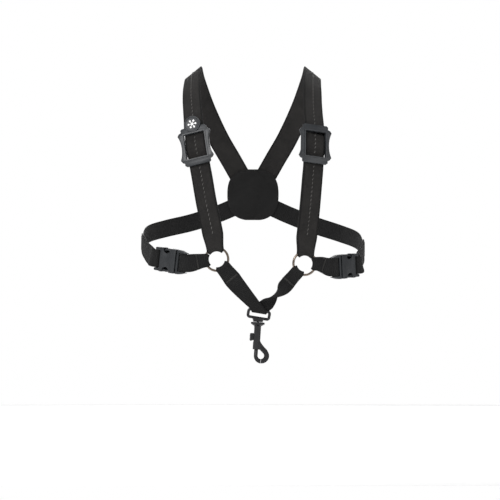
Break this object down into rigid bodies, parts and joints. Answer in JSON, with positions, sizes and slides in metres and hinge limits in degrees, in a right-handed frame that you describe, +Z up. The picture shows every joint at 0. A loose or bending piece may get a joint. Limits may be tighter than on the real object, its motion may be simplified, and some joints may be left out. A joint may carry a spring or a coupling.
{
  "type": "saxophone shoulder harness",
  "caption": "Webbing shoulder harness with sliders, rings, side-release buckles, a back patch and a swivel snap hook, shaped as worn.",
  "frame": {"origin": "midway between the two places where the shoulder straps lie on the wearer's shoulders", "axes": "+Z up, -Y towards the wearer's front, +X to the right as seen from the front"},
  "size_m": [0.2704, 0.2361, 0.3579],
  "materials": {
    "shoulder_webbing": "soft charcoal webbing",
    "webbing": "plain black webbing",
    "slider_plastic": "moulded, fine grain",
    "buckle_plastic": "moulded, fine grain",
    "motif": "printed white",
    "ring_steel": "polished, nickel plated",
    "hook_metal": "black oxide, worn on the edges",
    "pin_steel": "plain steel",
    "thread": "black thread"
  },
  "bodies": {
    "harness": {"left_shoulder_strap": "shoulder_webbing", "right_shoulder_strap": "shoulder_webbing", "left_side_strap": "webbing", "right_side_strap": "webbing", "left_buckle_plug": "buckle_plastic", "right_buckle_plug": "buckle_plastic", "left_rear_strap": "webbing", "right_rear_strap": "webbing", "back_patch_inner": "webbing", "back_patch_outer": "webbing", "front_strap": "webbing", "left_side_tack": "thread", "right_side_tack": "thread", "left_rear_tack": "thread", "right_rear_tack": "thread", "front_left_tack": "thread", "front_right_tack": "thread"},
    "left_slider_part": {"left_slider": "slider_plastic", "left_badge": "slider_plastic", "left_badge_motif": "motif", "left_slider_tack": "thread"},
    "right_slider_part": {"right_slider": "slider_plastic", "right_slider_tack": "thread"},
    "left_ring_part": {"left_ring": "ring_steel"},
    "right_ring_part": {"right_ring": "ring_steel"},
    "left_socket_part": {"left_buckle_socket": "buckle_plastic"},
    "right_socket_part": {"right_buckle_socket": "buckle_plastic"},
    "left_upper_arm": {"left_latch_upper": "buckle_plastic"},
    "left_lower_arm": {"left_latch_lower": "buckle_plastic"},
    "right_upper_arm": {"right_latch_upper": "buckle_plastic"},
    "right_lower_arm": {"right_latch_lower": "buckle_plastic"},
    "eye_part": {"hook_eye": "hook_metal"},
    "hook_part": {"hook_body": "hook_metal", "swivel_pin": "pin_steel", "bolt_spring": "pin_steel"},
    "bolt_part": {"thumb_bolt": "hook_metal"}
  },
  "joints": [
    {"name": "left_slider_slide", "type": "slide", "parent": "harness", "child": "left_slider_part", "axis": [-0.1374, 0.3145, 0.9393], "range_m": [-0.012, 0.012], "deforming": ["left_shoulder_strap"]},
    {"name": "right_slider_slide", "type": "slide", "parent": "harness", "child": "right_slider_part", "axis": [0.0154, 0.2839, 0.9587], "range_m": [-0.012, 0.012], "deforming": ["right_shoulder_strap"]},
    {"name": "left_ring_spin", "type": "hinge", "parent": "harness", "child": "left_ring_part", "pos_m": [-0.04339, -0.11174, -0.22701], "axis": [-0.1147, -0.9934, -0.0014], "continuous": true},
    {"name": "right_ring_spin", "type": "hinge", "parent": "harness", "child": "right_ring_part", "pos_m": [0.0618, -0.10851, -0.23202], "axis": [0.2354, -0.9719, -0.0063], "continuous": true},
    {"name": "left_buckle_release", "type": "slide", "parent": "harness", "child": "left_socket_part", "axis": [-0.8035, 0.5789, 0.1392], "range_m": [0, 0.028], "deforming": ["left_rear_strap", "left_latch_upper", "left_latch_lower"]},
    {"name": "right_buckle_release", "type": "slide", "parent": "harness", "child": "right_socket_part", "axis": [0.6821, 0.7279, 0.0698], "range_m": [0, 0.028], "deforming": ["right_rear_strap", "right_latch_upper", "right_latch_lower"]},
    {"name": "left_upper_latch_squeeze", "type": "hinge", "parent": "harness", "child": "left_upper_arm", "pos_m": [-0.0912, -0.09872, -0.22404], "axis": [-0.5849, -0.8111, -0.0033], "range_deg": [0, 15], "stiffness_Nm_per_rad": 0.6},
    {"name": "left_lower_latch_squeeze", "type": "hinge", "parent": "harness", "child": "left_lower_arm", "pos_m": [-0.09253, -0.09772, -0.23592], "axis": [0.5849, 0.8111, 0.0033], "range_deg": [0, 15], "stiffness_Nm_per_rad": 0.6},
    {"name": "right_upper_latch_squeeze", "type": "hinge", "parent": "harness", "child": "right_upper_arm", "pos_m": [0.10456, -0.0889, -0.23005], "axis": [-0.7301, 0.6832, 0.0104], "range_deg": [0, 15], "stiffness_Nm_per_rad": 0.6},
    {"name": "right_lower_latch_squeeze", "type": "hinge", "parent": "harness", "child": "right_lower_arm", "pos_m": [0.10504, -0.08821, -0.24202], "axis": [0.7301, -0.6832, -0.0104], "range_deg": [0, 15], "stiffness_Nm_per_rad": 0.6},
    {"name": "hook_swing", "type": "hinge", "parent": "harness", "child": "eye_part", "pos_m": [0.00764, -0.114, -0.28846], "axis": [0.9866, 0, -0.1633], "range_deg": [-50, 8]},
    {"name": "hook_swivel", "type": "hinge", "parent": "eye_part", "child": "hook_part", "pos_m": [0.0056, -0.114, -0.3066], "axis": [0.0663, 0, 0.9978], "continuous": true},
    {"name": "bolt_slide", "type": "slide", "parent": "hook_part", "child": "bolt_part", "axis": [0.0663, 0, 0.9978], "range_m": [0, 0.007], "stiffness_N_per_m": 250, "springref_m": -0.006, "deforming": ["bolt_spring"]}
  ]
}
